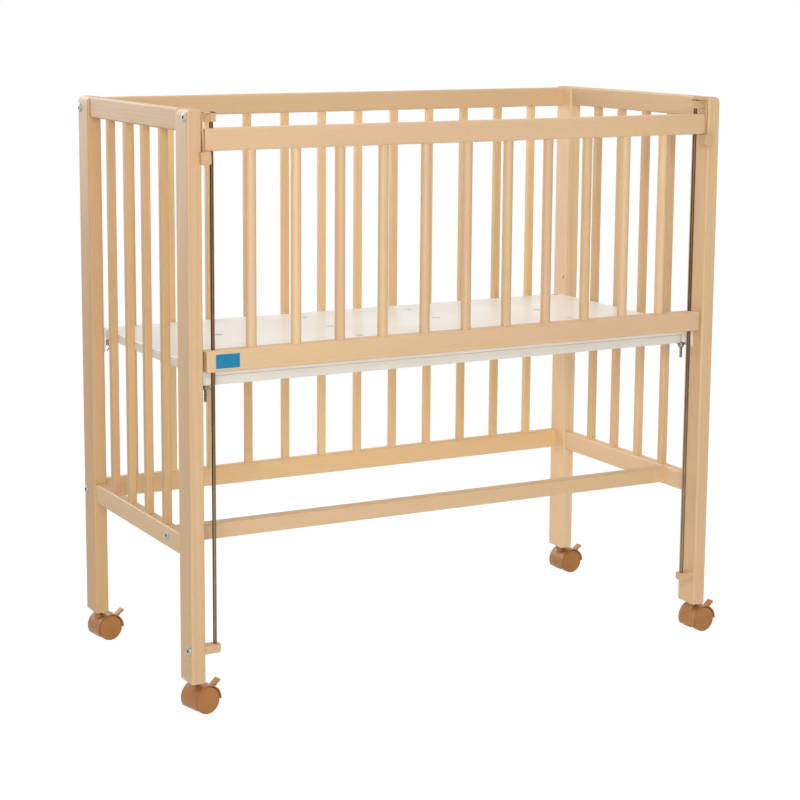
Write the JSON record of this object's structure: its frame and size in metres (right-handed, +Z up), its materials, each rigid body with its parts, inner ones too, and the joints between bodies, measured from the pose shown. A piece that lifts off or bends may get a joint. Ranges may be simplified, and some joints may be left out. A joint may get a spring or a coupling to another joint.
{
  "type": "bedside sleeper crib",
  "caption": "Narrow wooden bedside crib on four swivel castors, with slatted sides, a slatted gate that slides down on two steel rods, and a raised mattress board.",
  "frame": {"origin": "middle of the mattress board's top face, 533 mm above the floor", "axes": "+X along the crib's length, +Y from the gate side to the fixed back side, +Z up"},
  "size_m": [0.9878, 0.4661, 0.914],
  "materials": {
    "beech": "clear satin lacquer over pale beech with fine straight grain",
    "support_plastic": "moulded off-white plastic",
    "steel": "bright zinc plate",
    "castor_plastic": "semi-gloss brown moulding",
    "castor_wheel": "semi-gloss brown tread and disc",
    "white_strip": "smooth white painted edge",
    "wing_nut_steel": "dull grey zinc plate",
    "dowel_wood": "plain turned beech",
    "label_plate": "plain blue plate with a pale edge, no print",
    "tan_plastic": "moulded plastic coloured like the wood",
    "guide_rod": "drawn steel rod, bronzed dark",
    "white_board": "smooth white melamine face"
  },
  "bodies": {
    "frame": {"back_bottom_rail": "beech", "back_left_board_support": "support_plastic", "back_left_post": "beech", "back_right_board_support": "support_plastic", "back_right_post": "beech", "back_slats": "beech", "back_top_rail": "beech", "barrel_nuts": "steel", "board_clamp_bolts": "steel", "board_front_strip": "white_strip", "board_wing_nuts": "wing_nut_steel", "bracket_bolts": "steel", "castor_stems": "steel", "dowels": "dowel_wood", "frame_bolts": "steel", "front_left_board_support": "support_plastic", "front_left_post": "beech", "front_right_board_support": "support_plastic", "front_right_post": "beech", "left_bottom_rod_bracket": "tan_plastic", "left_end_bottom_rail": "beech", "left_end_slats": "beech", "left_end_top_rail": "beech", "left_guide_rod": "guide_rod", "left_top_rod_bracket": "tan_plastic", "lower_stretcher": "beech", "mattress_board": "white_board", "right_bottom_rod_bracket": "tan_plastic", "right_end_bottom_rail": "beech", "right_end_slats": "beech", "right_end_top_rail": "beech", "right_guide_rod": "guide_rod", "right_top_rod_bracket": "tan_plastic", "support_screws": "steel"},
    "gate": {"gate_top_rail": "beech", "gate_bottom_rail": "beech", "gate_spindles": "beech", "gate_label_plate": "label_plate"},
    "catch_left": {"left_gate_catch": "tan_plastic"},
    "catch_right": {"right_gate_catch": "tan_plastic"},
    "front_left_castor": {"front_left_castor_body": "castor_plastic", "front_left_castor_axle": "steel"},
    "front_left_castor_near_wheel": {"front_left_castor_near_wheel": "castor_wheel"},
    "front_left_castor_far_wheel": {"front_left_castor_far_wheel": "castor_wheel"},
    "front_left_castor_pedal": {"front_left_castor_pedal": "castor_plastic"},
    "front_right_castor": {"front_right_castor_body": "castor_plastic", "front_right_castor_axle": "steel"},
    "front_right_castor_near_wheel": {"front_right_castor_near_wheel": "castor_wheel"},
    "front_right_castor_far_wheel": {"front_right_castor_far_wheel": "castor_wheel"},
    "front_right_castor_pedal": {"front_right_castor_pedal": "castor_plastic"},
    "back_left_castor": {"back_left_castor_body": "castor_plastic", "back_left_castor_axle": "steel"},
    "back_left_castor_near_wheel": {"back_left_castor_near_wheel": "castor_wheel"},
    "back_left_castor_far_wheel": {"back_left_castor_far_wheel": "castor_wheel"},
    "back_left_castor_pedal": {"back_left_castor_pedal": "castor_plastic"},
    "back_right_castor": {"back_right_castor_body": "castor_plastic", "back_right_castor_axle": "steel"},
    "back_right_castor_near_wheel": {"back_right_castor_near_wheel": "castor_wheel"},
    "back_right_castor_far_wheel": {"back_right_castor_far_wheel": "castor_wheel"},
    "back_right_castor_pedal": {"back_right_castor_pedal": "castor_plastic"}
  },
  "joints": [
    {"name": "gate_slide", "type": "slide", "parent": "frame", "child": "gate", "axis": [0, 0, 1], "range_m": [-0.417, 0.009]},
    {"name": "catch_left_press", "type": "hinge", "parent": "frame", "child": "catch_left", "pos_m": [-0.4503, -0.2175, 0.3743], "axis": [0, 1, 0], "range_deg": [0, 2.5], "stiffness_Nm_per_rad": 1, "springref_deg": -5.73},
    {"name": "catch_right_press", "type": "hinge", "parent": "frame", "child": "catch_right", "pos_m": [0.4503, -0.2175, 0.3743], "axis": [0, -1, 0], "range_deg": [0, 2.5], "stiffness_Nm_per_rad": 1, "springref_deg": -5.73},
    {"name": "front_left_castor_swivel", "type": "hinge", "parent": "frame", "child": "front_left_castor", "pos_m": [-0.4635, -0.205, -0.49], "axis": [0, 0, 1], "continuous": true},
    {"name": "front_left_castor_near_roll", "type": "hinge", "parent": "front_left_castor", "child": "front_left_castor_near_wheel", "pos_m": [-0.44932, -0.20199, -0.512], "axis": [-0.2079, 0.9781, 0], "continuous": true},
    {"name": "front_left_castor_far_roll", "type": "hinge", "parent": "front_left_castor", "child": "front_left_castor_far_wheel", "pos_m": [-0.44932, -0.20199, -0.512], "axis": [-0.2079, 0.9781, 0], "continuous": true},
    {"name": "front_left_castor_pedal_press", "type": "hinge", "parent": "front_left_castor", "child": "front_left_castor_pedal", "pos_m": [-0.43467, -0.19887, -0.5003], "axis": [-0.2079, 0.9781, 0], "range_deg": [0, 22]},
    {"name": "front_right_castor_swivel", "type": "hinge", "parent": "frame", "child": "front_right_castor", "pos_m": [0.4635, -0.205, -0.49], "axis": [0, 0, 1], "continuous": true},
    {"name": "front_right_castor_near_roll", "type": "hinge", "parent": "front_right_castor", "child": "front_right_castor_near_wheel", "pos_m": [0.47794, -0.20374, -0.512], "axis": [-0.0872, 0.9962, 0], "continuous": true},
    {"name": "front_right_castor_far_roll", "type": "hinge", "parent": "front_right_castor", "child": "front_right_castor_far_wheel", "pos_m": [0.47794, -0.20374, -0.512], "axis": [-0.0872, 0.9962, 0], "continuous": true},
    {"name": "front_right_castor_pedal_press", "type": "hinge", "parent": "front_right_castor", "child": "front_right_castor_pedal", "pos_m": [0.49286, -0.20243, -0.5003], "axis": [-0.0872, 0.9962, 0], "range_deg": [0, 22]},
    {"name": "back_left_castor_swivel", "type": "hinge", "parent": "frame", "child": "back_left_castor", "pos_m": [-0.4635, 0.205, -0.49], "axis": [0, 0, 1], "continuous": true},
    {"name": "back_left_castor_near_roll", "type": "hinge", "parent": "back_left_castor", "child": "back_left_castor_near_wheel", "pos_m": [-0.44911, 0.20677, -0.512], "axis": [-0.1219, 0.9925, 0], "continuous": true},
    {"name": "back_left_castor_far_roll", "type": "hinge", "parent": "back_left_castor", "child": "back_left_castor_far_wheel", "pos_m": [-0.44911, 0.20677, -0.512], "axis": [-0.1219, 0.9925, 0], "continuous": true},
    {"name": "back_left_castor_pedal_press", "type": "hinge", "parent": "back_left_castor", "child": "back_left_castor_pedal", "pos_m": [-0.43425, 0.20859, -0.5003], "axis": [-0.1219, 0.9925, 0], "range_deg": [0, 22]},
    {"name": "back_right_castor_swivel", "type": "hinge", "parent": "frame", "child": "back_right_castor", "pos_m": [0.4635, 0.205, -0.49], "axis": [0, 0, 1], "continuous": true},
    {"name": "back_right_castor_near_roll", "type": "hinge", "parent": "back_right_castor", "child": "back_right_castor_near_wheel", "pos_m": [0.47796, 0.20601, -0.512], "axis": [-0.0698, 0.9976, 0], "continuous": true},
    {"name": "back_right_castor_far_roll", "type": "hinge", "parent": "back_right_castor", "child": "back_right_castor_far_wheel", "pos_m": [0.47796, 0.20601, -0.512], "axis": [-0.0698, 0.9976, 0], "continuous": true},
    {"name": "back_right_castor_pedal_press", "type": "hinge", "parent": "back_right_castor", "child": "back_right_castor_pedal", "pos_m": [0.4929, 0.20706, -0.5003], "axis": [-0.0698, 0.9976, 0], "range_deg": [0, 22]}
  ]
}
